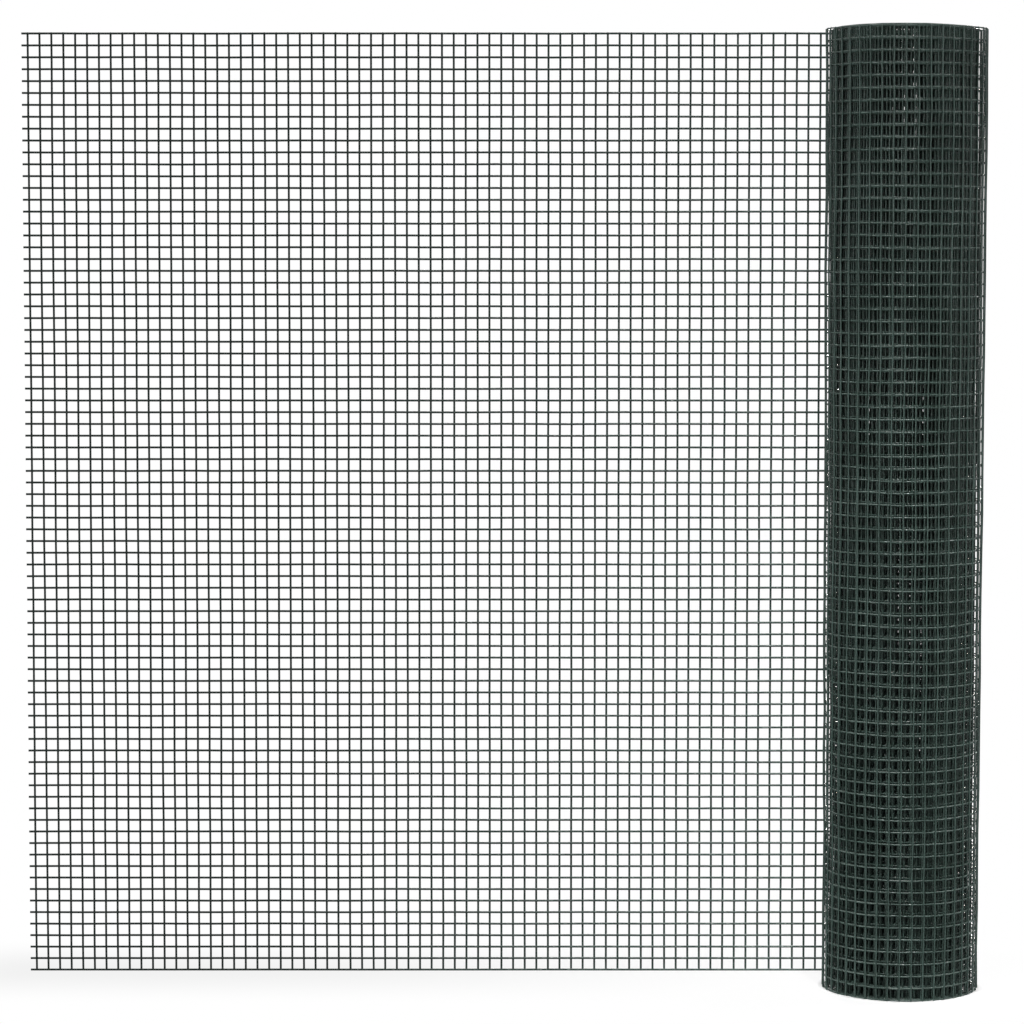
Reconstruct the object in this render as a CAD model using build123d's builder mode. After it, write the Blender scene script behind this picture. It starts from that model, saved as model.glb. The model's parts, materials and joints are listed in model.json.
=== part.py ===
from build123d import *
import math
import os

# Roll of welded wire fencing, standing on one end, with its free end drawn out flat.
# Frame: Z is the axis of the roll, z = 0 is the floor, and the free end runs towards -X
# from the back of the roll (+Y). All lengths are in millimetres.

# The welded mesh
mesh_opening = 10.6        # clear opening between two coated wires, each way
wire_diameter = 1.9        # steel wire with its plastic coating
line_wire_count = 81       # wires that run along the fence, rings on the roll

# The roll
core_diameter = 54.0       # hole left by the winding mandrel
turn_count = 15
valley_depth = 1.9         # valley between two turns on the ends of the roll

# The free end
free_cross_wires = 72      # upright wires on the stretch that is drawn off the roll
strip_count = 14           # strips that this stretch is kept in

# Sizes that follow from the mesh and the winding
mesh_pitch = mesh_opening + wire_diameter
mesh_thickness = 2 * wire_diameter
roll_height = (line_wire_count - 1) * mesh_pitch + wire_diameter
core_radius = core_diameter / 2
roll_radius = core_radius + turn_count * mesh_thickness

# The mesh leaves the roll along its tangent at the back. Its upright wires are on the
# outside, so they lie against the plane y = roll_radius, with the line wires in front.
cross_wire_y = roll_radius - wire_diameter / 2
line_wire_y = cross_wire_y - wire_diameter
mesh_face_y = roll_radius - mesh_thickness
seat_x = -math.sqrt(roll_radius**2 - mesh_face_y**2)

os.makedirs("parts", exist_ok=True)


# The roll is one turned solid. On each end every turn has a crest over its middle, with
# a valley between it and the next, and the rims of the bore and of the outside are flat.
crests_and_valleys = []
for turn in range(turn_count):
    inner_radius = core_radius + turn * mesh_thickness
    if turn > 0:
        crests_and_valleys.append((inner_radius, valley_depth))
    crests_and_valleys.append((inner_radius + mesh_thickness / 2, 0))

top_end = [(radius, roll_height - depth) for radius, depth in crests_and_valleys]
bottom_end = [(radius, depth) for radius, depth in reversed(crests_and_valleys)]

with BuildPart() as roll:
    with BuildSketch(Plane.XZ):
        with BuildLine():
            Polyline(
                (core_radius, 0),
                (core_radius, roll_height),
                *top_end,
                (roll_radius, roll_height),
                (roll_radius, 0),
                *bottom_end,
                close=True,
            )
        make_face()
    revolve(axis=Axis.Z)
roll.part.label = "roll"
export_step(roll.part, "parts/roll.step", write_pcurves=False)


def build_strip(first_wire, wire_count):
    """One strip of flat mesh: upright wires welded to a length of every line wire."""
    near_x = seat_x - first_wire * mesh_pitch
    strip_length = wire_count * mesh_pitch
    with BuildPart() as strip:
        with BuildSketch(Plane.YZ.offset(near_x)):
            with Locations((line_wire_y, roll_height / 2)):
                with GridLocations(0, mesh_pitch, 1, line_wire_count):
                    Rectangle(wire_diameter, wire_diameter)
        extrude(amount=-strip_length)
        with BuildSketch(Plane.XY):
            with Locations((near_x - strip_length / 2, cross_wire_y)):
                with GridLocations(mesh_pitch, 0, wire_count, 1):
                    Rectangle(wire_diameter, wire_diameter)
        extrude(amount=roll_height)
    return strip.part


# The free end is one piece of mesh, kept as strips that meet where the line wires are cut.
# The upright wires are shared out among the strips as evenly as whole wires allow.
strip_starts = [round(free_cross_wires * strip / strip_count) for strip in range(strip_count + 1)]
for strip in range(strip_count):
    wire_count = strip_starts[strip + 1] - strip_starts[strip]
    strip_part = build_strip(strip_starts[strip], wire_count)
    strip_part.label = f"free_end_{strip + 1:02d}"
    export_step(strip_part, f"parts/free_end_{strip + 1:02d}.step", write_pcurves=False)

print(f"roll {2 * roll_radius:.1f} mm across, {roll_height:.1f} mm tall, bore {core_diameter:.1f} mm")
print(f"free end from x = {seat_x:.2f} to {seat_x - free_cross_wires * mesh_pitch:.2f} mm")
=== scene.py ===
# %% [markdown]
# # A roll of welded wire fencing
# The real thing is one long strip of welded mesh. Thin steel wires run along it (the line
# wires), shorter ones stand across it (the cross wires), each crossing is a spot weld, and the
# whole net is dipped in dark green plastic. Most of it is wound into a roll that stands on its
# end, and the free end is drawn off the back of the roll and stands out flat beside it.
#
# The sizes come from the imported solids, so that the mesh lies exactly where they are.

# %% Load the frame and read its sizes
import json
import math

import bpy
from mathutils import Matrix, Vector


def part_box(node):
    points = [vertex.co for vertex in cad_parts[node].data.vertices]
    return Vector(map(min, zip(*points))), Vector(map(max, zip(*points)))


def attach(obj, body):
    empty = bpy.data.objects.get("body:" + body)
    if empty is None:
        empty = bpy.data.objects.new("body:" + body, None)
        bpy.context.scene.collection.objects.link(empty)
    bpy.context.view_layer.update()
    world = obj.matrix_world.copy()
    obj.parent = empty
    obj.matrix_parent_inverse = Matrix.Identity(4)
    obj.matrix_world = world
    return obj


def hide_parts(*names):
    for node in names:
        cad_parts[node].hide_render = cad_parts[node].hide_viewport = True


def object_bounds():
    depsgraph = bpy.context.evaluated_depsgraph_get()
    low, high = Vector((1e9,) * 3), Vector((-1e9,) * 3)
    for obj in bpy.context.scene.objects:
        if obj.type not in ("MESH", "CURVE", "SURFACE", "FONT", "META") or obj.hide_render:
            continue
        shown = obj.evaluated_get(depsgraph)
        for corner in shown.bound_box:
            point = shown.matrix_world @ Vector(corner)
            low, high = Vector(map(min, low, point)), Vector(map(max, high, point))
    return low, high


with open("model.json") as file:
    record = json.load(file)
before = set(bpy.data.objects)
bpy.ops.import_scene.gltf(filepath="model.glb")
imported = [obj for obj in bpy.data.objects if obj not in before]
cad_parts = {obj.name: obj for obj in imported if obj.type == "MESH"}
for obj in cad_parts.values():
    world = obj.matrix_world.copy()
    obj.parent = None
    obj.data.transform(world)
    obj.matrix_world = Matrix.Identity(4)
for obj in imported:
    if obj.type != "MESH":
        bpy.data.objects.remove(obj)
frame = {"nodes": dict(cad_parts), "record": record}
cad_low, cad_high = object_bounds()

STRIPS = sorted(name for name in frame["nodes"] if name.startswith("free_end"))
strip_low, strip_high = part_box(STRIPS[0])
roll_low, roll_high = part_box("roll")
core_mount = next(m for m in frame["record"]["mounts"] if m["name"] == "core_bore")

MM = 0.001
LINE_WIRES = 81
HEIGHT = roll_high.z
OUTER_RADIUS = roll_high.x
CORE_RADIUS = core_mount["dims"]["r_mm"] * MM
MESH_THICKNESS = strip_high.y - strip_low.y
WIRE = MESH_THICKNESS / 2
PITCH = (HEIGHT - WIRE) / (LINE_WIRES - 1)
# The free end has round wires of the same section as the square bars of the solids. On the roll,
# where winding has drawn the coating out, they are thinner.
SHEET_WIRE = WIRE * math.sqrt(4 / math.pi)
ROLL_WIRE = 0.80 * WIRE
CUT_X = cad_low.x
STRAIGHT = -CUT_X
TURNS = (OUTER_RADIUS - CORE_RADIUS) / MESH_THICKNESS
WOUND = math.pi * (OUTER_RADIUS**2 - CORE_RADIUS**2) / MESH_THICKNESS

print(f"mesh pitch {PITCH / MM:.2f} mm, wire {WIRE / MM:.2f} mm, {TURNS:.1f} turns")
print(f"{STRAIGHT:.3f} m stands out flat and {WOUND:.3f} m is wound on the roll")

# %% [markdown]
# ## The camera
# It stands in front, at four fifths of the roll's height, so the bottom rim curves down strongly
# and the top rim hardly at all. A long lens from nearly four metres keeps the flat stretch almost
# rectangular, although the camera is tilted down a little. Setting the camera first lets every
# later step be judged in the final view.

# %% Camera
CAMERA_PLACE = (-0.4073, -3.8079, 0.7877)
CAMERA_PITCH = math.radians(4.309)
CAMERA_LENS = 128.67
SENSOR = 36.0

camera_data = bpy.data.cameras.new("camera")
camera_data.lens = CAMERA_LENS
camera_data.sensor_width = SENSOR
camera = bpy.data.objects.new("camera", camera_data)
camera.location = CAMERA_PLACE
camera.rotation_euler = (math.pi / 2 - CAMERA_PITCH, 0, 0)
bpy.context.scene.collection.objects.link(camera)
bpy.context.scene.camera = camera
print(f"camera {-CAMERA_PLACE[1]:.2f} m in front, lens {CAMERA_LENS} mm")

# %% [markdown]
# ## Small helpers for node trees
# Geometry and shader trees are built the same way: add a node, set its options, and give each
# input either a value or the output that feeds it. One helper does this for both kinds.


# %% Node helpers
def add_node(tree, kind, inputs=None, **options):
    """Adds a node, sets its options, and fills or links its inputs by name or number."""
    node = tree.nodes.new(kind)
    for option, value in options.items():
        setattr(node, option, value)
    for key, value in (inputs or {}).items():
        socket = node.inputs[key]
        if isinstance(value, bpy.types.NodeSocket):
            tree.links.new(value, socket)
        else:
            socket.default_value = value
    return node


def math_node(tree, operation, *values):
    """A Math node with its inputs in order."""
    node = add_node(tree, "ShaderNodeMath", dict(enumerate(values)), operation=operation)
    return node.outputs[0]


def vector_node(tree, operation, *values):
    """A Vector Math node with its inputs in order."""
    node = add_node(tree, "ShaderNodeVectorMath", dict(enumerate(values)), operation=operation)
    return node.outputs["Value" if operation == "LENGTH" else "Vector"]


def scaled(tree, vector, factor):
    """A vector times a number."""
    node = add_node(tree, "ShaderNodeVectorMath", {0: vector, "Scale": factor}, operation="SCALE")
    return node.outputs["Vector"]


def new_tree(name, kind, inputs, outputs):
    """A node group with named sockets, and its input and output nodes."""
    tree = bpy.data.node_groups.new(name, kind)
    for label, socket_type, default in inputs:
        socket = tree.interface.new_socket(label, in_out="INPUT", socket_type=socket_type)
        if default is not None:
            socket.default_value = default
    for label, socket_type in outputs:
        tree.interface.new_socket(label, in_out="OUTPUT", socket_type=socket_type)
    return tree, tree.nodes.new("NodeGroupInput").outputs, tree.nodes.new("NodeGroupOutput").inputs


# %% [markdown]
# ## The line that the mesh follows
# Seen from above, the mesh is one line: straight along the free end, then a spiral that winds
# clockwise into the roll and loses one mesh thickness per turn. Only the outer turn starts wider
# and tightens late, because nothing ties it down. A spiral node could draw the roll, but then its
# wires would not line up with those of the free end, so a formula gives the point at any distance
# along the mesh. Stations lie half a cell apart, and a cross wire is welded on every odd one.


# %% Plan of the mesh
def smooth_step(low, high, value):
    """0 below low, 1 above high, and an even rise between."""
    share = min(1.0, max(0.0, (value - low) / (high - low)))
    return share * share * (3 - 2 * share)


def wound_angle(distance):
    """How far the mesh has turned round the roll, at a distance along it from the cut end."""
    wound = max(0.0, distance - STRAIGHT)
    inside = max(0.0, OUTER_RADIUS**2 - MESH_THICKNESS * wound / math.pi)
    return (OUTER_RADIUS - math.sqrt(inside)) * 2 * math.pi / MESH_THICKNESS


def distance_at_turn(turn):
    """Distance along the mesh, from the cut end, at which it has made that many turns."""
    angle = 2 * math.pi * turn
    return STRAIGHT + OUTER_RADIUS * angle - MESH_THICKNESS * angle**2 / (4 * math.pi)


# The cross wires are outermost, so the middle of the line wires lies one and a half wires in. The
# outer turn tightens between these two counts of turns from where the mesh meets the roll.
LINE_WIRE_DEPTH = 1.5 * WIRE
TIGHTENS = (0.3, 1.1)


def station(distance):
    """Centre of the line wires on plan, the outward direction and the angle wound so far."""
    angle = wound_angle(distance)
    outward = Vector((math.sin(angle), math.cos(angle), 0))
    turns = angle / (2 * math.pi)
    tightening = smooth_step(*TIGHTENS, turns)
    radius = OUTER_RADIUS - MESH_THICKNESS * turns * tightening - LINE_WIRE_DEPTH
    along = Vector((min(0.0, CUT_X + distance), 0, 0))
    return outward * radius + along, outward, angle


print(f"the first turn takes {distance_at_turn(1) - STRAIGHT:.3f} m of mesh")

# %% Slack, slip and lean of the turns
# The outer turn stands loose at both sides of the roll, up to this many radians away from the
# middle of each side. The turns further in keep only a part of that slack.
LOOSE_RIGHT = 1.7 * MM
LOOSE_LEFT = 2.2 * MM
LOOSE_SPREAD = 1.1
LOOSENS = (0.86, 1.06)
LOOSE_FADE = 0.5


def looseness(outward, angle):
    """How far the turns under the outer one have shrunk away from it, at the right and left."""
    turns = angle / (2 * math.pi)
    under_outer_turn = smooth_step(*LOOSENS, turns) * (1 - LOOSE_FADE * turns / TURNS)
    side = math.atan2(outward.y, outward.x)
    right = max(0.0, 1 - (side / LOOSE_SPREAD) ** 2) ** 2
    left = max(0.0, 1 - ((math.pi - abs(side)) / LOOSE_SPREAD) ** 2) ** 2
    return under_outer_turn * LOOSE_RIGHT * right, under_outer_turn * LOOSE_LEFT * left


# The turns under it don't lie square on each other. They have slipped along the mesh, lean a
# little, and have risen by about a wire, in slow waves along the mesh. A wave is given by its
# size, how much of it goes on a turn, and how far into it the mesh starts.
SLIP_WAVE = (0.51 * PITCH, 0.289, 0.377)
LEAN_WAVE = (0.22 * PITCH, 0.285, 0.842)
RISE_WAVE = (0.8 * WIRE, 0.31, 0.4)
WAVES_GROW = (0.75, 1.4)


def wave(turns, size, waves_per_turn, start):
    """A slow wave along the wound mesh, still over the outer turn."""
    growth = smooth_step(*WAVES_GROW, turns)
    return size * growth * math.sin(2 * math.pi * (waves_per_turn * turns + start))


print(f"slack of {LOOSE_RIGHT / MM:.1f} mm at the right and {LOOSE_LEFT / MM:.1f} mm at the left")

# %% Stations along the mesh
HALF_CELL = PITCH / 2
# Share of a turn by which the mesh counts as wound, so that the free end joins the roll smoothly.
WOUND_BY = 0.25
LAST_STATION = int((STRAIGHT + WOUND) / HALF_CELL)


def odd_station(distance):
    """The number of the cross wire station nearest to a distance along the mesh."""
    return min(LAST_STATION - 1 + LAST_STATION % 2, 2 * round((distance / HALF_CELL - 1) / 2) + 1)


def plan_line(name, first, last, every_half_cell):
    """A mesh of edges along the plan, with what the node tree needs to know at each station."""
    numbers = [n for n in range(first, last + 1) if every_half_cell or n % 2 or n == first]
    found = [station(n * HALF_CELL) for n in numbers]
    mesh = bpy.data.meshes.new(name)
    edges = [(i, i + 1) for i in range(len(found) - 1)]
    mesh.from_pydata([place for place, _, _ in found], edges, [])
    slack = [looseness(outward, angle) for _, outward, angle in found]
    turns = [angle / (2 * math.pi) for _, _, angle in found]
    columns = {
        "outward": ("FLOAT_VECTOR", "vector", [x for _, outward, _ in found for x in outward]),
        "crossing": ("BOOLEAN", "value", [n % 2 == 1 and n != last for n in numbers]),
        "slack_right": ("FLOAT", "value", [right for right, _ in slack]),
        "slack_left": ("FLOAT", "value", [left for _, left in slack]),
        "wound": ("FLOAT", "value", [smooth_step(0, WOUND_BY, turn) for turn in turns]),
        "slip": ("FLOAT", "value", [wave(turn, *SLIP_WAVE) for turn in turns]),
        "lean": ("FLOAT", "value", [wave(turn, *LEAN_WAVE) for turn in turns]),
        "rise": ("FLOAT", "value", [wave(turn, *RISE_WAVE) for turn in turns]),
    }
    for label, (kind, field, values) in columns.items():
        mesh.attributes.new(label, kind, "POINT").data.foreach_set(field, values)
    return bpy.data.objects.new(name, mesh)


print(f"{LAST_STATION // 2} cross wires stand along the mesh")

# %% [markdown]
# ## Handling dents
# No roll is wound perfectly: every ring waves a little, the turns bulge here and there, and the
# lower end is wound tighter than the upper one. All trees share one group that moves points by a
# noise of their own position. Because the shift depends on the place and the station alone, wires
# that meet at a weld stay together. The same group lets the turns under the loose outer one shrink
# away from it and moves them out of line with it, so that their wires fill its openings with fine
# lines.

# %% Handling dents, shared by the trees below
dents, given, result = new_tree(
    "handling_dents",
    "GeometryNodeTree",
    [("Geometry", "NodeSocketGeometry", None), ("Seed", "NodeSocketFloat", 0.0)],
    [("Geometry", "NodeSocketGeometry")],
)


def attribute(tree, name, data_type):
    """Reads a named attribute of the stations."""
    kind = "GeometryNodeInputNamedAttribute"
    return add_node(tree, kind, {"Name": name}, data_type=data_type).outputs[0]


def ramp(tree, value, low, high, from_value=0.0, to_value=1.0):
    """An even rise, or fall, of one value between two limits of another."""
    return add_node(
        tree,
        "ShaderNodeMapRange",
        {
            "Value": value,
            "From Min": low,
            "From Max": high,
            "To Min": from_value,
            "To Max": to_value,
        },
        interpolation_type="SMOOTHSTEP",
    ).outputs["Result"]


def upright(tree, length):
    """A vector that points up by a length."""
    return add_node(tree, "ShaderNodeCombineXYZ", {"Z": length}).outputs[0]


def drift(tree, place, seed, size):
    """A noise of the place that points any way, about as long as half of its range."""
    noise = add_node(
        tree,
        "ShaderNodeTexNoise",
        {"Vector": place, "W": seed, "Scale": 1 / size, "Detail": 0.0},
        noise_dimensions="4D",
    )
    return vector_node(tree, "SUBTRACT", noise.outputs["Color"], (0.5, 0.5, 0.5))


# %% Dents, kinks and taper
# The band where the roll was bent is given by its middle, as a share of the height, its half width
# in metres, and how much stronger the kinks are there. The flat free end takes only its play of
# the dents. The tapers are shares of the roll's width.
DENT_SIZE = 70 * MM
DENT_DEPTH = 2.8 * MM
KINK_SIZE = 17 * MM
KINK_DEPTH = 0.55 * MM
BENT_HEIGHT = 0.535
BENT_SPREAD = 0.044
BENT_GAIN = 3.0
PLAY_FLAT = 0.25
BOTTOM_TAPER = -0.018
TOP_TAPER = 0.015
FLAT_ROWS = 4

place = add_node(dents, "GeometryNodeInputPosition").outputs[0]
height = add_node(dents, "ShaderNodeSeparateXYZ", {0: place}).outputs["Z"]
wound = attribute(dents, "wound", "FLOAT")
play = math_node(dents, "MULTIPLY_ADD", wound, 1 - PLAY_FLAT, PLAY_FLAT)

# Broad dents everywhere, and small kinks that are strongest in a band where the roll was bent.
off_bend = math_node(dents, "ABSOLUTE", math_node(dents, "SUBTRACT", height, BENT_HEIGHT * HEIGHT))
bend = ramp(dents, off_bend, 0.0, BENT_SPREAD, BENT_GAIN, 1.0)
broad = scaled(dents, drift(dents, place, given["Seed"], DENT_SIZE), DENT_DEPTH)
kink = math_node(dents, "MULTIPLY", bend, KINK_DEPTH)
small = scaled(dents, drift(dents, place, given["Seed"], KINK_SIZE), kink)
shift = scaled(dents, vector_node(dents, "ADD", broad, small), play)
shift = vector_node(dents, "ADD", shift, upright(dents, attribute(dents, "rise", "FLOAT")))

# The lowest rows stay flat on the floor.
rise = ramp(dents, height, WIRE, FLAT_ROWS * PITCH)
level = add_node(dents, "ShaderNodeCombineXYZ", {"X": 1.0, "Y": 1.0, "Z": rise}).outputs[0]
shift = vector_node(dents, "MULTIPLY", shift, level)

# The roll narrows evenly towards the floor. The free end, which isn't wound, stays where it is.
taper = math_node(dents, "MULTIPLY_ADD", height, (TOP_TAPER - BOTTOM_TAPER) / HEIGHT, BOTTOM_TAPER)
off_axis = vector_node(dents, "MULTIPLY", place, (1.0, 1.0, 0.0))
narrowed = scaled(dents, off_axis, math_node(dents, "MULTIPLY", taper, wound))
shift = vector_node(dents, "ADD", shift, narrowed)
print(f"dents of {DENT_DEPTH / MM:.1f} mm, kinks of {KINK_DEPTH / MM:.2f} mm")

# %% Slack, slip and lean, by height
# On the right the turns under the loose outer one shrink away in the upper half and swell against
# it in the lower half. On the left they shrink away over most of the height. Heights are shares of
# the roll's height.
RIGHT_GAP = (0.46, 0.62)
RIGHT_SWELL = -0.9
LEFT_GAP_FOOT = (0.08, 0.18)
LEFT_GAP_HEAD = (0.60, 0.74)
LEFT_HEAD_SLACK = 0.45


def over_height(shares, from_value=0.0, to_value=1.0):
    """A ramp between two shares of the roll's height."""
    low, high = shares
    return ramp(dents, height, low * HEIGHT, high * HEIGHT, from_value, to_value)


window_right = over_height(RIGHT_GAP, RIGHT_SWELL)
window_left = math_node(
    dents,
    "MULTIPLY",
    over_height(LEFT_GAP_FOOT),
    over_height(LEFT_GAP_HEAD, 1.0, LEFT_HEAD_SLACK),
)
pulled = math_node(
    dents,
    "ADD",
    math_node(dents, "MULTIPLY", attribute(dents, "slack_right", "FLOAT"), window_right),
    math_node(dents, "MULTIPLY", attribute(dents, "slack_left", "FLOAT"), window_left),
)
outward = attribute(dents, "outward", "FLOAT_VECTOR")
shift = vector_node(dents, "SUBTRACT", shift, scaled(dents, outward, pulled))

# Slip and lean go along the mesh: the same way at all heights, and both ways from the middle.
tilt = math_node(dents, "MULTIPLY_ADD", height, 1 / HEIGHT, -0.5)
leaning = math_node(dents, "MULTIPLY", attribute(dents, "lean", "FLOAT"), tilt)
slipped = math_node(dents, "ADD", attribute(dents, "slip", "FLOAT"), leaning)
along_mesh = vector_node(dents, "CROSS_PRODUCT", outward, (0.0, 0.0, 1.0))
shift = vector_node(dents, "ADD", shift, scaled(dents, along_mesh, slipped))

# Nothing goes through the floor. The beads of the lowest welds are pressed flat on it. Sideways the
# limit is too far out to do anything.
FAR = 10.0
moved = vector_node(dents, "ADD", place, shift)
above_floor = vector_node(dents, "MAXIMUM", moved, (-FAR, -FAR, cad_low.z))
placed = add_node(
    dents,
    "GeometryNodeSetPosition",
    {"Geometry": given["Geometry"], "Position": above_floor},
)
dents.links.new(placed.outputs[0], result["Geometry"])
print(f"{dents.name}: {len(dents.nodes)} nodes")

# %% [markdown]
# ## The welded mesh
# One tree makes any stretch of the mesh. It sweeps a few-sided circle along the plan for the
# line wires, sets a copy of that sweep at each height, and stands a cross wire on every odd
# station, one wire thickness further out. The rows at the two ends of the roll show the spiral
# from above, so they can be made apart, with more segments than the rows between them.

# %% Welded mesh tree
welded_mesh, given, result = new_tree(
    "welded_mesh",
    "GeometryNodeTree",
    [
        ("Plan", "NodeSocketGeometry", None),
        ("Wire Diameter", "NodeSocketFloat", WIRE),
        ("Pitch", "NodeSocketFloat", PITCH),
        ("Line Wires", "NodeSocketInt", LINE_WIRES),
        ("Rim Rows", "NodeSocketInt", 0),
        ("Only Rims", "NodeSocketBool", False),
        ("Skip Rims", "NodeSocketBool", False),
        ("Line Sides", "NodeSocketInt", 6),
        ("Cross Sides", "NodeSocketInt", 6),
        ("Cross Segments", "NodeSocketInt", 24),
        ("Stand Cross Wires", "NodeSocketBool", True),
        ("Seed", "NodeSocketFloat", 0.0),
        ("Coating", "NodeSocketMaterial", None),
    ],
    [("Mesh", "NodeSocketGeometry")],
)


def wire_section(tree, diameter, sides):
    """A polygon with the same area as the round wire, so that few sides don't thin it."""
    corner = math_node(tree, "DIVIDE", 2 * math.pi, sides)
    area = math_node(tree, "MULTIPLY", sides, math_node(tree, "SINE", corner))
    spread = math_node(tree, "SQRT", math_node(tree, "DIVIDE", 2 * math.pi, area))
    radius = math_node(tree, "MULTIPLY", math_node(tree, "MULTIPLY", diameter, 0.5), spread)
    inputs = {"Resolution": sides, "Radius": radius}
    return add_node(tree, "GeometryNodeCurvePrimitiveCircle", inputs).outputs["Curve"]


def row_points(tree, given, half_wire):
    """A point at the height of every line wire."""
    return add_node(
        tree,
        "GeometryNodeMeshLine",
        {
            "Count": given["Line Wires"],
            "Start Location": upright(tree, half_wire),
            "Offset": upright(tree, given["Pitch"]),
        },
    ).outputs["Mesh"]


def dented_and_coated(tree, instances, given):
    """Makes instances real, dents them all together, smooths them and gives them their coating."""
    real = add_node(tree, "GeometryNodeRealizeInstances", {"Geometry": instances})
    inputs = {"Geometry": real.outputs[0], "Seed": given["Seed"]}
    dented = add_node(tree, "GeometryNodeGroup", inputs, node_tree=dents)
    smooth = add_node(tree, "GeometryNodeSetShadeSmooth", {"Geometry": dented.outputs[0]})
    inputs = {"Geometry": smooth.outputs[0], "Material": given["Coating"]}
    return add_node(tree, "GeometryNodeSetMaterial", inputs).outputs[0]


print(f"{welded_mesh.name}: {len(given) - 1} inputs")

# %% Line wires
# The plan is swept once and set at every row that this stretch asks for.
path = add_node(welded_mesh, "GeometryNodeMeshToCurve", {"Mesh": given["Plan"]}).outputs["Curve"]
sweep = add_node(
    welded_mesh,
    "GeometryNodeCurveToMesh",
    {
        "Curve": path,
        "Profile Curve": wire_section(welded_mesh, given["Wire Diameter"], given["Line Sides"]),
        "Fill Caps": True,
    },
).outputs["Mesh"]
half_wire = math_node(welded_mesh, "MULTIPLY", given["Wire Diameter"], 0.5)
rows = row_points(welded_mesh, given, half_wire)
row = add_node(welded_mesh, "GeometryNodeInputIndex").outputs[0]
top_row = math_node(welded_mesh, "SUBTRACT", given["Line Wires"], given["Rim Rows"])
in_bottom_rim = math_node(welded_mesh, "LESS_THAN", row, given["Rim Rows"])
under_top_rim = math_node(welded_mesh, "SUBTRACT", top_row, 0.5)
in_top_rim = math_node(welded_mesh, "GREATER_THAN", row, under_top_rim)
in_rim = math_node(welded_mesh, "MAXIMUM", in_bottom_rim, in_top_rim)
between = math_node(welded_mesh, "SUBTRACT", 1.0, in_rim)
left_out = math_node(
    welded_mesh,
    "ADD",
    math_node(welded_mesh, "MULTIPLY", in_rim, given["Skip Rims"]),
    math_node(welded_mesh, "MULTIPLY", between, given["Only Rims"]),
)
kept_rows = add_node(
    welded_mesh,
    "GeometryNodeDeleteGeometry",
    {"Geometry": rows, "Selection": left_out},
)
line_wires = add_node(
    welded_mesh,
    "GeometryNodeInstanceOnPoints",
    {"Points": kept_rows.outputs[0], "Instance": sweep},
).outputs["Instances"]
print(f"line wires: {len(welded_mesh.nodes)} nodes so far")

# %% Cross wires
# One upright wire stands on each odd station, outside the line wires, cut off at the middle of the
# lowest and the topmost line wire.
row_gaps = math_node(welded_mesh, "SUBTRACT", given["Line Wires"], 1.0)
wire_top = math_node(welded_mesh, "MULTIPLY_ADD", row_gaps, given["Pitch"], half_wire)
upright_line = add_node(
    welded_mesh,
    "GeometryNodeCurvePrimitiveLine",
    {"Start": upright(welded_mesh, half_wire), "End": upright(welded_mesh, wire_top)},
)
upright_points = math_node(welded_mesh, "ADD", given["Cross Segments"], 1.0)
upright_path = add_node(
    welded_mesh,
    "GeometryNodeResampleCurve",
    {"Curve": upright_line.outputs[0], "Count": upright_points},
)
upright_wire = add_node(
    welded_mesh,
    "GeometryNodeCurveToMesh",
    {
        "Curve": upright_path.outputs[0],
        "Profile Curve": wire_section(welded_mesh, given["Wire Diameter"], given["Cross Sides"]),
        "Fill Caps": True,
    },
).outputs["Mesh"]
outward = attribute(welded_mesh, "outward", "FLOAT_VECTOR")
outside = scaled(welded_mesh, outward, given["Wire Diameter"])
stations = add_node(
    welded_mesh,
    "GeometryNodeSetPosition",
    {"Geometry": given["Plan"], "Offset": outside},
)
crossing = attribute(welded_mesh, "crossing", "BOOLEAN")
standing = math_node(welded_mesh, "MULTIPLY", crossing, given["Stand Cross Wires"])
cross_wires = add_node(
    welded_mesh,
    "GeometryNodeInstanceOnPoints",
    {"Points": stations.outputs[0], "Selection": standing, "Instance": upright_wire},
).outputs["Instances"]

# Both sets of wires are made real, dented together and coated.
both = add_node(welded_mesh, "GeometryNodeJoinGeometry")
welded_mesh.links.new(line_wires, both.inputs[0])
welded_mesh.links.new(cross_wires, both.inputs[0])
welded_mesh.links.new(dented_and_coated(welded_mesh, both.outputs[0], given), result["Mesh"])
print(f"{welded_mesh.name}: {len(welded_mesh.nodes)} nodes")

# %% [markdown]
# ## The plastic coating
# The coating is a dark, slightly blue green with a satin sheen. Dipped plastic is never one flat
# colour: it varies a little along the wire, has a fine orange-peel surface, and gathers a pale
# film on the sides that face up, which is partly dust and partly painted top light. One shader
# group gives those three, and three materials use it: the wires, a darker copy with less of the
# film on the turns under the outer one, which paints their shade, and the thicker, glossier
# coating that pools round every weld.

# %% Coating group
coating_marks, given, result = new_tree(
    "coating_marks",
    "ShaderNodeTree",
    [
        ("Color", "NodeSocketColor", (0.02, 0.03, 0.027, 1.0)),
        ("Light Color", "NodeSocketColor", (0.03, 0.045, 0.04, 1.0)),
        # The pale colour and its amount paint a film on the sides that face up: partly dust, and
        # partly painted top light that lightens the tops of the rings.
        ("Dusty Top Light Color", "NodeSocketColor", (0.12, 0.13, 0.12, 1.0)),
        ("Dusty Top Light", "NodeSocketFloat", 0.2),
        ("Gloss", "NodeSocketFloat", 0.4),
    ],
    [
        ("Color", "NodeSocketColor"),
        ("Roughness", "NodeSocketFloat"),
        ("Height", "NodeSocketFloat"),
    ],
)
spot = add_node(coating_marks, "ShaderNodeTexCoord").outputs["Object"]


def noise(per_metre, detail):
    """A noise over the piece, in its own coordinates."""
    inputs = {"Vector": spot, "Scale": per_metre, "Detail": detail}
    return add_node(coating_marks, "ShaderNodeTexNoise", inputs).outputs["Fac"]


def share_between(value, limits):
    """Where a value lies between two limits, from 0 to 1."""
    inputs = {"Value": value, "From Min": limits[0], "From Max": limits[1]}
    return add_node(coating_marks, "ShaderNodeMapRange", inputs).outputs["Result"]


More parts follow.
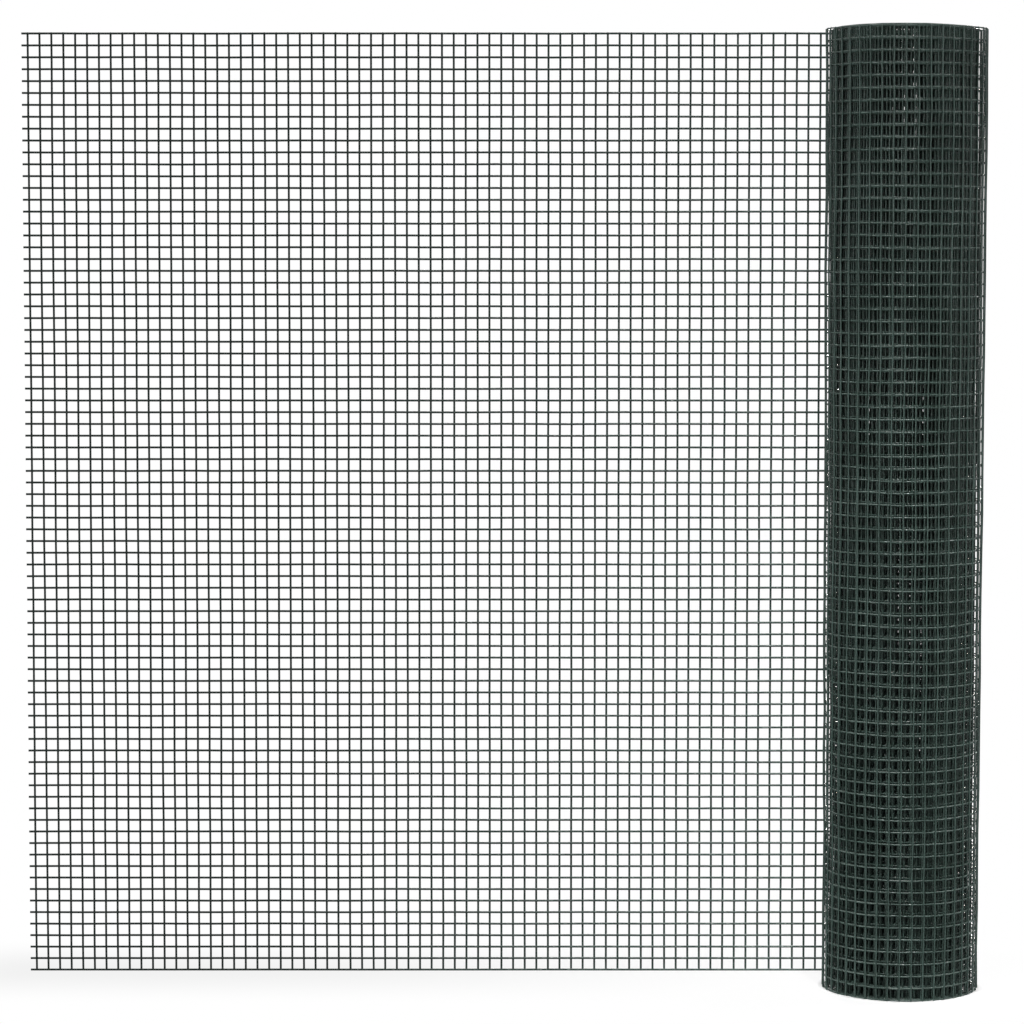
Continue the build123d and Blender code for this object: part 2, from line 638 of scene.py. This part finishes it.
def mixed_color(share, color, other_color):
    """One colour, with a share of another."""
    inputs = {"Factor": share, 6: color, 7: other_color}
    return add_node(coating_marks, "ShaderNodeMix", inputs, data_type="RGBA").outputs[2]


# The tone drifts over a few centimetres and the orange peel is about a millimetre wide. A pale film
# lies where the surface faces up by more than the lower limit, and is thicker where the tone is
# light. It is partly dust and partly painted top light, which lightens the tops of the rings.
TONE_PER_METRE = 26.0
TONE_LIMITS = (0.35, 0.65)
PEEL_PER_METRE = 900.0
PEEL_ROUGHNESS = 0.3
DUSTY_TOP_LIGHT_LIMITS = (0.1, 0.9)
DUST_ROUGHNESS = 0.3

tone_share = share_between(noise(TONE_PER_METRE, 4.0), TONE_LIMITS)
peel = noise(PEEL_PER_METRE, 2.0)
body_color = mixed_color(tone_share, given["Color"], given["Light Color"])
# Painted top light, with some dust: a pale film on surfaces that face up.
facing = add_node(coating_marks, "ShaderNodeNewGeometry").outputs["Normal"]
upward = add_node(coating_marks, "ShaderNodeSeparateXYZ", {0: facing}).outputs["Z"]
patchy = math_node(coating_marks, "MULTIPLY", tone_share, given["Dusty Top Light"])
dusty_top_light_share = math_node(coating_marks, "MULTIPLY", share_between(upward, DUSTY_TOP_LIGHT_LIMITS), patchy)
dusty_top_light_color = mixed_color(dusty_top_light_share, body_color, given["Dusty Top Light Color"])
uneven = math_node(coating_marks, "MULTIPLY_ADD", peel, PEEL_ROUGHNESS, -PEEL_ROUGHNESS / 2)
uneven = math_node(coating_marks, "MULTIPLY_ADD", dusty_top_light_share, DUST_ROUGHNESS, uneven)
rough = math_node(coating_marks, "ADD", given["Gloss"], uneven)
coating_marks.links.new(dusty_top_light_color, result["Color"])
coating_marks.links.new(rough, result["Roughness"])
coating_marks.links.new(peel, result["Height"])
print(f"{coating_marks.name}: {len(coating_marks.nodes)} nodes")

# %% Coating materials
SPECULAR = 0.17
PEEL_STRENGTH = 0.6


def coating(name, color, light_color, gloss, dusty_top_light, peel_depth):
    """A plastic coating that takes its marks from the shared group."""
    material = bpy.data.materials.new(name)
    material.use_nodes = True
    tree = material.node_tree
    shader = tree.nodes["Principled BSDF"]
    shader.inputs["Specular IOR Level"].default_value = SPECULAR
    marks = add_node(tree, "ShaderNodeGroup", node_tree=coating_marks)
    marks.inputs["Color"].default_value = (*color, 1.0)
    marks.inputs["Light Color"].default_value = (*light_color, 1.0)
    marks.inputs["Dusty Top Light"].default_value = dusty_top_light
    marks.inputs["Gloss"].default_value = gloss
    bump = add_node(
        tree,
        "ShaderNodeBump",
        {"Height": marks.outputs["Height"], "Distance": peel_depth, "Strength": PEEL_STRENGTH},
    )
    tree.links.new(marks.outputs["Color"], shader.inputs["Base Color"])
    tree.links.new(marks.outputs["Roughness"], shader.inputs["Roughness"])
    tree.links.new(bump.outputs["Normal"], shader.inputs["Normal"])
    return material


# The outer wires get the most of the pale film, which is partly dust and partly painted top light.
wire_coating = coating(
    "wire_coating",
    color=(0.023, 0.039, 0.033),
    light_color=(0.032, 0.053, 0.046),
    gloss=0.24,
    dusty_top_light=0.45,
    peel_depth=0.12 * MM,
)
# Painted shade: a darker copy of the wire coating, with less of the pale film, for the turns under
# the outer one, which get less light.
painted_shade_coating = coating(
    "painted_shade_coating",
    color=(0.021, 0.036, 0.030),
    light_color=(0.029, 0.049, 0.042),
    gloss=0.24,
    dusty_top_light=0.20,
    peel_depth=0.12 * MM,
)
pooled_coating = coating(
    "pooled_coating",
    color=(0.022, 0.037, 0.032),
    light_color=(0.030, 0.049, 0.043),
    gloss=0.20,
    dusty_top_light=0.30,
    peel_depth=0.2 * MM,
)
print("materials:", wire_coating.name, painted_shade_coating.name, pooled_coating.name)

# %% [markdown]
# ## Making a piece from a tree
# Every piece goes through the same steps: a plan line gets the tree as a modifier, the inputs
# are set by their identifiers, and the evaluated result becomes a plain mesh. The plan line is
# thrown away, so nothing stays live.


# %% Piece maker
PLAN_ATTRIBUTES = "outward crossing slack_right slack_left wound slip lean rise".split()


def made_piece(name, plan, tree, values):
    """Runs a tree on a plan line and returns the result as a plain mesh object."""
    scene = bpy.context.scene
    scene.collection.objects.link(plan)
    modifier = plan.modifiers.new(tree.name, "NODES")
    modifier.node_group = tree
    sockets = [item for item in tree.interface.items_tree if item.in_out == "INPUT"]
    identifiers = {socket.name: socket.identifier for socket in sockets}
    for label, value in values.items():
        modifier[identifiers[label]] = value
    plan.update_tag()
    bpy.context.view_layer.update()
    evaluated = plan.evaluated_get(bpy.context.evaluated_depsgraph_get())
    mesh = bpy.data.meshes.new_from_object(evaluated)
    mesh.name = name
    plan_mesh = plan.data
    plan.modifiers.remove(modifier)
    bpy.data.objects.remove(plan)
    bpy.data.meshes.remove(plan_mesh)
    for leftover in [a.name for a in mesh.attributes if a.name in PLAN_ATTRIBUTES]:
        mesh.attributes.remove(mesh.attributes[leftover])
    piece = bpy.data.objects.new(name, mesh)
    scene.collection.objects.link(piece)
    triangles = sum(len(p.vertices) - 2 for p in mesh.polygons)
    print(f"{name}: {triangles} triangles")
    return piece


# The seed decides where the dents fall.
SEED = 2.0
PIECES = []

# %% [markdown]
# ## The free end and the turns of the roll
# The free end and the outer turn are seen from close by, so their wires have six or more sides.
# The turns under it only show through the openings and get fewer, except for the rows at the top
# and bottom rim, where the whole spiral is in view.

# %% Wires
after_free_end = odd_station(STRAIGHT)
after_turn = {turn: odd_station(distance_at_turn(turn)) for turn in (1, 3, 6)}
core_end = odd_station(STRAIGHT + WOUND)

EIGHT_SIDED = {"Line Sides": 8, "Cross Sides": 8}
SIX_SIDED = {"Line Sides": 6, "Cross Sides": 6}
FIVE_SIDED = {"Line Sides": 5, "Cross Sides": 5}
RIM_ROWS = 2

# Name, first and last station, whether the plan bends every half cell, and inputs of the tree.
STRETCHES = [
    ("free_end_wires", 0, after_free_end, False, {**EIGHT_SIDED, "Cross Segments": 37}),
    ("outer_turn", after_free_end, after_turn[1], True, SIX_SIDED),
    ("second_turns", after_turn[1], after_turn[3], True, FIVE_SIDED),
    ("third_turns", after_turn[3], after_turn[6], False, FIVE_SIDED),
    (
        "inner_turns",
        after_turn[6],
        core_end,
        False,
        {**FIVE_SIDED, "Cross Segments": 12, "Rim Rows": RIM_ROWS, "Skip Rims": True},
    ),
    (
        "inner_turn_rims",
        after_turn[6],
        core_end,
        True,
        {**EIGHT_SIDED, "Rim Rows": RIM_ROWS, "Only Rims": True, "Stand Cross Wires": False},
    ),
]

for name, first, last, every_half_cell, values in STRETCHES:
    line = plan_line(f"{name}_plan", first, last, every_half_cell)
    diameter = SHEET_WIRE if first == 0 else ROLL_WIRE
    # The turns under the outer one get the darker copy of the coating, which paints their shade.
    coat = wire_coating if last <= after_turn[1] else painted_shade_coating
    values = {"Seed": SEED, "Coating": coat, "Wire Diameter": diameter, **values}
    PIECES.append(made_piece(name, line, welded_mesh, values))

# %% [markdown]
# ## Welds under the coating
# Where two wires are welded, the coating fills the corner and leaves a soft bead. A bead is a
# small ball of few faces with its middle between the two wires, which hide most of it. The ones on
# the free end and on the outer turn can be seen, and they are instanced on every crossing there.

# %% Weld bead tree
weld_beads, given, result = new_tree(
    "weld_beads",
    "GeometryNodeTree",
    [
        ("Plan", "NodeSocketGeometry", None),
        ("Wire Diameter", "NodeSocketFloat", WIRE),
        ("Pitch", "NodeSocketFloat", PITCH),
        ("Line Wires", "NodeSocketInt", LINE_WIRES),
        ("Bead Size", "NodeSocketFloat", 1.45),
        ("Seed", "NodeSocketFloat", 0.0),
        ("Coating", "NodeSocketMaterial", None),
    ],
    [("Beads", "NodeSocketGeometry")],
)
half_wire = math_node(weld_beads, "MULTIPLY", given["Wire Diameter"], 0.5)
between_wires = scaled(weld_beads, attribute(weld_beads, "outward", "FLOAT_VECTOR"), half_wire)
welds = add_node(
    weld_beads,
    "GeometryNodeSetPosition",
    {"Geometry": given["Plan"], "Offset": between_wires},
)
bead_radius = math_node(weld_beads, "MULTIPLY", half_wire, given["Bead Size"])
bead = add_node(
    weld_beads,
    "GeometryNodeMeshIcoSphere",
    {"Radius": bead_radius, "Subdivisions": 1},
)
column = add_node(
    weld_beads,
    "GeometryNodeInstanceOnPoints",
    {
        "Points": row_points(weld_beads, given, half_wire),
        "Instance": bead.outputs["Mesh"],
    },
)
columns = add_node(
    weld_beads,
    "GeometryNodeInstanceOnPoints",
    {
        "Points": welds.outputs[0],
        "Selection": attribute(weld_beads, "crossing", "BOOLEAN"),
        "Instance": column.outputs["Instances"],
    },
)
beads = dented_and_coated(weld_beads, columns.outputs["Instances"], given)
weld_beads.links.new(beads, result["Beads"])
print(f"{weld_beads.name}: {len(weld_beads.nodes)} nodes")

# %% Welds
for name, first, last in (
    ("free_end_welds", 0, after_free_end),
    ("outer_turn_welds", after_free_end, after_turn[1]),
):
    line = plan_line(f"{name}_plan", first, last, False)
    diameter = SHEET_WIRE if first == 0 else ROLL_WIRE
    values = {"Seed": SEED, "Coating": pooled_coating, "Wire Diameter": diameter}
    PIECES.append(made_piece(name, line, weld_beads, values))

# %% [markdown]
# ## Floor and light
# A plain white floor runs back to a white world, so the roll stands in an even studio. The floor
# stays a real diffuse surface near the object, where it keeps the soft shadow, and fades to the
# white of the world further out. A soft dome does most of the lighting, so that the green shows
# about as dark as it is. It is brighter overhead than at the horizon, which lights the tops of the
# rings and leaves their undersides dark. High spots all round make the rings glint, and tall
# strips on four sides draw a soft line along the upright wires.

# %% Floor
FLOOR_HALF = 30.0

floor_mesh = bpy.data.meshes.new("floor")
corners = [(-1, -1), (1, -1), (1, 1), (-1, 1)]
floor_points = [(FLOOR_HALF * x, FLOOR_HALF * y, cad_low.z) for x, y in corners]
floor_mesh.from_pydata(floor_points, [], [(0, 1, 2, 3)])
floor = bpy.data.objects.new("floor", floor_mesh)
bpy.context.scene.collection.objects.link(floor)
print(f"floor {2 * FLOOR_HALF:.0f} m wide")

# %% Floor paint
# The floor's share of white at the object, and how far out it is all white.
FLOOR_WHITE = 0.86
FLOOR_FADE = 0.18
FLOOR_GREY = 0.4
WHITE = (1.0, 1.0, 1.0, 1.0)


def seen_rays(tree):
    """1 for the rays that show white: straight to the camera, in a gloss or through glass."""
    rays = add_node(tree, "ShaderNodeLightPath").outputs
    seen = math_node(tree, "MAXIMUM", rays["Is Camera Ray"], rays["Is Glossy Ray"])
    return math_node(tree, "MAXIMUM", seen, rays["Is Transmission Ray"])


def flat_length(tree, x, y):
    """Length of a vector that lies on the floor."""
    vector = add_node(tree, "ShaderNodeCombineXYZ", {"X": x, "Y": y}).outputs[0]
    return vector_node(tree, "LENGTH", vector)


floor_paint = bpy.data.materials.new("floor_paint")
floor_paint.use_nodes = True
tree = floor_paint.node_tree
tree.nodes.clear()
floor_color = (FLOOR_GREY, FLOOR_GREY, FLOOR_GREY, 1.0)
matt = add_node(tree, "ShaderNodeBsdfDiffuse", {"Color": floor_color})
glow = add_node(tree, "ShaderNodeEmission", {"Color": WHITE, "Strength": 1.0})

# How far a spot on the floor is from the free end and from the roll, whichever is nearer.
spot = add_node(tree, "ShaderNodeTexCoord").outputs["Object"]
spot_at = add_node(tree, "ShaderNodeSeparateXYZ", {0: spot}).outputs
along = math_node(tree, "ABSOLUTE", math_node(tree, "SUBTRACT", spot_at["X"], CUT_X / 2))
past_end = math_node(tree, "MAXIMUM", 0.0, math_node(tree, "ADD", along, CUT_X / 2))
aside = math_node(tree, "SUBTRACT", spot_at["Y"], OUTER_RADIUS)
off_free_end = flat_length(tree, past_end, aside)
off_axis = flat_length(tree, spot_at["X"], spot_at["Y"])
off_roll = math_node(tree, "SUBTRACT", off_axis, OUTER_RADIUS)
away = math_node(tree, "MINIMUM", off_free_end, off_roll)
whiteness = ramp(tree, away, 0.0, FLOOR_FADE, FLOOR_WHITE, 1.0)
white_share = math_node(tree, "MULTIPLY", whiteness, seen_rays(tree))

# Under the roll the floor doesn't shine, so that the inside of the roll stays dark.
open_floor = ramp(tree, off_roll, -2 * WIRE, 2 * WIRE)
white_share = math_node(tree, "MULTIPLY", white_share, open_floor)
mixed = add_node(
    tree,
    "ShaderNodeMixShader",
    {0: white_share, 1: matt.outputs[0], 2: glow.outputs[0]},
)
tree.links.new(mixed.outputs[0], add_node(tree, "ShaderNodeOutputMaterial").inputs["Surface"])
floor_mesh.materials.append(floor_paint)
print(f"{floor_paint.name}: white beyond {FLOOR_FADE} m from the object")

# %% Light of the dome
DOME_LOW = 0.16
DOME_HIGH = 0.62
world = bpy.data.worlds.new("studio")
bpy.context.scene.world = world
world.use_nodes = True
tree = world.node_tree
tree.nodes.clear()
sky_way = add_node(tree, "ShaderNodeTexCoord").outputs["Generated"]
sky_height = add_node(tree, "ShaderNodeSeparateXYZ", {0: sky_way}).outputs["Z"]
sky_height = math_node(tree, "MAXIMUM", sky_height, 0.0)
dome = math_node(tree, "MULTIPLY_ADD", sky_height, DOME_HIGH - DOME_LOW, DOME_LOW)
strength = math_node(tree, "MAXIMUM", dome, seen_rays(tree))
sky = add_node(tree, "ShaderNodeBackground", {"Color": WHITE, "Strength": strength})
tree.links.new(sky.outputs[0], add_node(tree, "ShaderNodeOutputWorld").inputs["Surface"])
print(f"dome of {DOME_LOW} at the horizon and {DOME_HIGH} overhead")

# %% Lamps
# Name, place, aim, width, height, spread of the beam in degrees, power in watts.
LAMPS = [
    ("overhead_softbox", (-0.10, -0.88, 4.67), (0.03, 0.0, 0.5), 0.85, 0.85, 15.0, 1.0),
    ("high_left_spot", (-1.1, -1.75, 3.9), (0.0, -0.05, 0.2), 0.3, 0.3, 16.0, 1.5),
    ("high_right_spot", (0.36, -2.0, 3.9), (0.0, -0.05, 0.2), 0.3, 0.3, 16.0, 1.4),
    ("front_strip", (-0.6, -3.3, 0.95), (0.03, 0.0, 0.95), 0.25, 1.4, 12.0, 0.25),
    ("left_strip", (-2.3, -1.8, 0.95), (0.0, 0.0, 0.5), 0.3, 1.4, 12.0, 0.5),
    ("right_strip", (2.5, -1.1, 0.95), (0.0, 0.0, 0.5), 0.3, 1.4, 12.0, 0.45),
    ("back_strip", (0.7, 3.0, 0.95), (0.0, 0.0, 0.5), 0.3, 1.4, 12.0, 0.8),
    ("high_side_spot", (2.3, 0.5, 3.9), (0.05, 0.0, 0.25), 0.3, 0.3, 16.0, 1.0),
    ("high_back_spot", (-0.5, 2.2, 3.9), (0.0, 0.05, 0.25), 0.3, 0.3, 16.0, 1.2),
]
for name, place, aim, width, depth, spread, power in LAMPS:
    lamp_data = bpy.data.lights.new(name, "AREA")
    lamp_data.shape = "RECTANGLE"
    lamp_data.size = width
    lamp_data.size_y = depth
    lamp_data.spread = math.radians(spread)
    lamp_data.energy = power
    lamp = bpy.data.objects.new(name, lamp_data)
    lamp.location = place
    lamp.rotation_euler = (Vector(aim) - Vector(place)).to_track_quat("-Z", "Y").to_euler()
    bpy.context.scene.collection.objects.link(lamp)
bpy.context.scene.view_settings.view_transform = "Standard"
print(f"{len(LAMPS)} lamps")

# %% [markdown]
# ## Handing the pieces to the frame
# The roll has no moving parts, so every piece rides on the one body. The strips and the turned
# roll of the solid model are hidden, and the free end and the turns are seen in their place.

# %% Frame
for piece in PIECES:
    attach(piece, "root")
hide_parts(*STRIPS)
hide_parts("roll")

print("CAD box", list(cad_low), list(cad_high))
